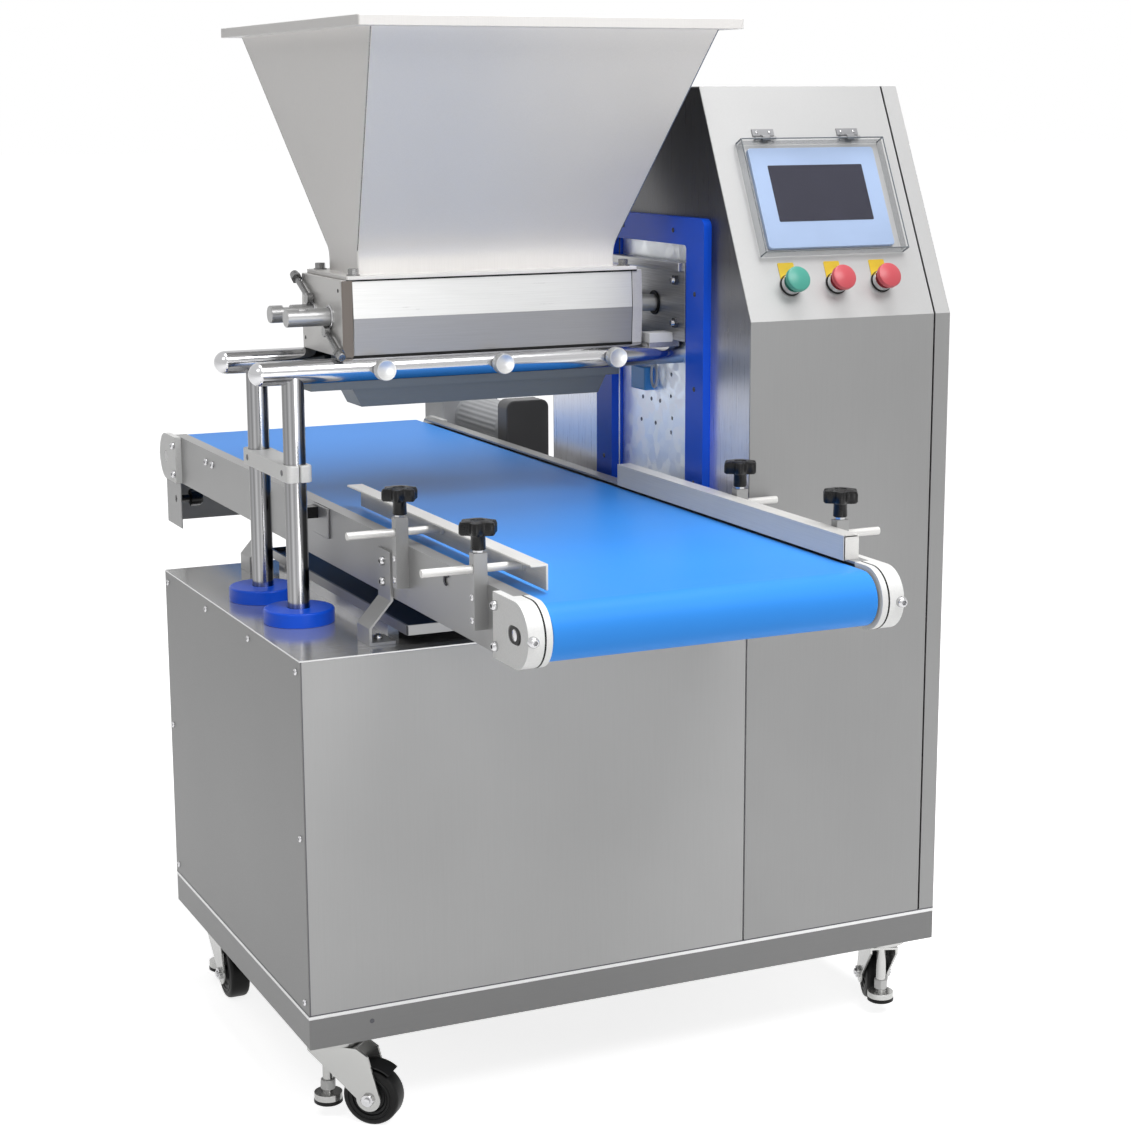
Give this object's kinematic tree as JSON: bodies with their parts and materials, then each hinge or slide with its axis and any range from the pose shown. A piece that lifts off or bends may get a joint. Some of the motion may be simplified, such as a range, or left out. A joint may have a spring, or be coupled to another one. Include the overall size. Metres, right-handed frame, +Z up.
{
  "type": "cookie depositor",
  "caption": "Mobile cookie depositor: steel cabinet with console tower, belt conveyor through it, and a height-adjustable dosing head with hopper, feed rollers and nozzle manifold.",
  "frame": {"origin": "on the floor, below the middle of the machine's outline", "axes": "+X to the right towards the console tower, +Y along the conveyor to the drive end, +Z up"},
  "size_m": [0.965, 1.58, 1.4381],
  "materials": {
    "stainless_sheet": "brushed stainless sheet with bright edges",
    "hopper_steel": "fine brushed stainless sheet",
    "housing_steel": "ground stainless plate",
    "manifold_metal": "smooth bluish grey metal",
    "polished_steel": "polished round bar",
    "satin_aluminium": "satin milled aluminium",
    "bracket_steel": "ground stainless plate",
    "galvanised_sheet": "zinc-plated sheet",
    "fastener_steel": "bright screw heads",
    "conveyor_steel": "brushed stainless sheet",
    "roller_steel": "turned steel",
    "blue_plastic": "royal blue machined plastic",
    "blue_belt": "matt blue food belt",
    "screen_bezel": "pale blue front film with a dark screen",
    "clear_cover": "clear acrylic",
    "button_metal": "polished collars",
    "yellow_plate": "yellow plastic plate",
    "green_button": "green plastic cap",
    "red_button": "red plastic cap",
    "motor_paint": "grey die-cast housing",
    "fan_cover_black": "dark moulded cover",
    "knob_black": "black moulded plastic",
    "tray_black": "dark coated sheet",
    "caster_zinc": "zinc-plated pressed steel",
    "wheel_black": "black rubber tread"
  },
  "bodies": {
    "frame": {"base_frame": "stainless_sheet", "left_side_panel": "stainless_sheet", "front_panel": "stainless_sheet", "rear_panels": "stainless_sheet", "top_plate": "stainless_sheet", "console_front_cover": "stainless_sheet", "console_left_panel": "stainless_sheet", "console_right_panel": "stainless_sheet", "slot_frame": "blue_plastic", "frame_screws": "fastener_steel", "touch_screen": "screen_bezel", "cover_hinges": "fastener_steel", "button_bases": "button_metal", "legend_plates": "yellow_plate", "post_collars": "blue_plastic", "lift_actuator": "motor_paint", "conveyor_frame": "conveyor_steel", "belt_end_plates": "satin_aluminium", "conveyor_belt": "blue_belt", "conveyor_feet": "conveyor_steel", "rear_guard": "conveyor_steel", "belt_motor": "motor_paint", "motor_fan_cover": "fan_cover_black", "guide_blocks": "satin_aluminium", "caster_plates": "caster_zinc"},
    "head": {"lift_posts": "polished_steel", "post_ties": "satin_aluminium", "support_bars": "polished_steel", "hopper": "hopper_steel", "roller_housing": "housing_steel", "housing_end_plates": "housing_steel", "nozzle_manifold": "manifold_metal", "thumb_screws": "polished_steel", "head_bracket": "bracket_steel", "lift_plate": "galvanised_sheet", "head_bolts": "fastener_steel", "roller_motor": "motor_paint"},
    "feed_roller_front": {"feed_roller_front": "polished_steel"},
    "feed_roller_rear": {"feed_roller_rear": "polished_steel"},
    "drive_roller": {"drive_roller": "roller_steel"},
    "idler_roller": {"idler_roller": "roller_steel"},
    "screen_cover": {"screen_cover": "clear_cover"},
    "start_button": {"start_button": "green_button"},
    "stop_button": {"stop_button": "red_button"},
    "emergency_button": {"emergency_button": "red_button"},
    "left_guide": {"left_guide": "conveyor_steel"},
    "right_guide": {"right_guide": "conveyor_steel"},
    "guide_knob_1": {"guide_knob_1": "knob_black"},
    "guide_knob_2": {"guide_knob_2": "knob_black"},
    "guide_knob_3": {"guide_knob_3": "knob_black"},
    "guide_knob_4": {"guide_knob_4": "knob_black"},
    "crumb_tray": {"crumb_tray": "tray_black"},
    "caster_fork_1": {"caster_fork_1": "caster_zinc"},
    "caster_fork_2": {"caster_fork_2": "caster_zinc"},
    "caster_fork_3": {"caster_fork_3": "caster_zinc"},
    "caster_fork_4": {"caster_fork_4": "caster_zinc"},
    "caster_wheel_1": {"caster_wheel_1": "wheel_black"},
    "caster_wheel_2": {"caster_wheel_2": "wheel_black"},
    "caster_wheel_3": {"caster_wheel_3": "wheel_black"},
    "caster_wheel_4": {"caster_wheel_4": "wheel_black"}
  },
  "joints": [
    {"name": "head_lift", "type": "slide", "parent": "frame", "child": "head", "axis": [0, 0, 1], "range_m": [-0.08, 0.02]},
    {"name": "front_feed_turn", "type": "hinge", "parent": "head", "child": "feed_roller_front", "pos_m": [-0.115, -0.102, 1.05055], "axis": [1, 0, 0], "continuous": true},
    {"name": "rear_feed_turn", "type": "hinge", "parent": "head", "child": "feed_roller_rear", "pos_m": [-0.115, -0.032, 1.05055], "axis": [1, 0, 0], "continuous": true},
    {"name": "drive_roller_turn", "type": "hinge", "parent": "frame", "child": "drive_roller", "pos_m": [-0.1035, 0.743, 0.746], "axis": [1, 0, 0], "continuous": true},
    {"name": "idler_roller_turn", "type": "hinge", "parent": "frame", "child": "idler_roller", "pos_m": [-0.1035, -0.743, 0.746], "axis": [1, 0, 0], "continuous": true},
    {"name": "screen_cover_swing", "type": "hinge", "parent": "frame", "child": "screen_cover", "pos_m": [0.313, -0.25251, 1.28299], "axis": [-1, 0, 0], "range_deg": [0, 105]},
    {"name": "start_press", "type": "slide", "parent": "frame", "child": "start_button", "axis": [0, 0.8973, -0.4414], "range_m": [0, 0.004], "stiffness_N_per_m": 1500, "springref_m": -0.001},
    {"name": "stop_press", "type": "slide", "parent": "frame", "child": "stop_button", "axis": [0, 0.8973, -0.4414], "range_m": [0, 0.004], "stiffness_N_per_m": 1500, "springref_m": -0.001},
    {"name": "emergency_press", "type": "slide", "parent": "frame", "child": "emergency_button", "axis": [0, 0.8973, -0.4414], "range_m": [0, 0.004], "stiffness_N_per_m": 1500, "springref_m": -0.001},
    {"name": "left_guide_shift", "type": "slide", "parent": "frame", "child": "left_guide", "axis": [1, 0, 0], "range_m": [-0.022, 0.055]},
    {"name": "right_guide_shift", "type": "slide", "parent": "frame", "child": "right_guide", "axis": [1, 0, 0], "range_m": [-0.04, 0.0025]},
    {"name": "guide_knob_1_turn", "type": "hinge", "parent": "frame", "child": "guide_knob_1", "pos_m": [-0.3475, -0.38, 0.83], "axis": [0, 0, 1], "range_deg": [0, 540]},
    {"name": "guide_knob_2_turn", "type": "hinge", "parent": "frame", "child": "guide_knob_2", "pos_m": [-0.3475, -0.636, 0.83], "axis": [0, 0, 1], "range_deg": [0, 540]},
    {"name": "guide_knob_3_turn", "type": "hinge", "parent": "frame", "child": "guide_knob_3", "pos_m": [0.1405, -0.38, 0.83], "axis": [0, 0, 1], "range_deg": [0, 540]},
    {"name": "guide_knob_4_turn", "type": "hinge", "parent": "frame", "child": "guide_knob_4", "pos_m": [0.1405, -0.636, 0.83], "axis": [0, 0, 1], "range_deg": [0, 540]},
    {"name": "crumb_tray_pull", "type": "slide", "parent": "frame", "child": "crumb_tray", "axis": [0, -1, 0], "range_m": [0, 0.38]},
    {"name": "caster_swivel_1", "type": "hinge", "parent": "frame", "child": "caster_fork_1", "pos_m": [-0.428, -0.307, 0.109], "axis": [0, 0, 1], "continuous": true},
    {"name": "caster_roll_1", "type": "hinge", "parent": "caster_fork_1", "child": "caster_wheel_1", "pos_m": [-0.38638, -0.34447, 0.039], "axis": [0.6691, 0.7431, 0], "continuous": true},
    {"name": "caster_swivel_2", "type": "hinge", "parent": "frame", "child": "caster_fork_2", "pos_m": [0.428, -0.307, 0.109], "axis": [0, 0, 1], "continuous": true},
    {"name": "caster_roll_2", "type": "hinge", "parent": "caster_fork_2", "child": "caster_wheel_2", "pos_m": [0.44898, -0.25508, 0.039], "axis": [-0.9272, 0.3746, 0], "continuous": true},
    {"name": "caster_swivel_3", "type": "hinge", "parent": "frame", "child": "caster_fork_3", "pos_m": [-0.428, 0.217, 0.109], "axis": [0, 0, 1], "continuous": true},
    {"name": "caster_roll_3", "type": "hinge", "parent": "caster_fork_3", "child": "caster_wheel_3", "pos_m": [-0.428, 0.161, 0.039], "axis": [1, 0, 0], "continuous": true},
    {"name": "caster_swivel_4", "type": "hinge", "parent": "frame", "child": "caster_fork_4", "pos_m": [0.428, 0.217, 0.109], "axis": [0, 0, 1], "continuous": true},
    {"name": "caster_roll_4", "type": "hinge", "parent": "caster_fork_4", "child": "caster_wheel_4", "pos_m": [0.43772, 0.27215, 0.039], "axis": [-0.9848, 0.1736, 0], "continuous": true}
  ],
  "couplings": [
    {"joint": "rear_feed_turn", "follows": "front_feed_turn", "ratio": -1},
    {"joint": "idler_roller_turn", "follows": "drive_roller_turn", "ratio": 1}
  ]
}
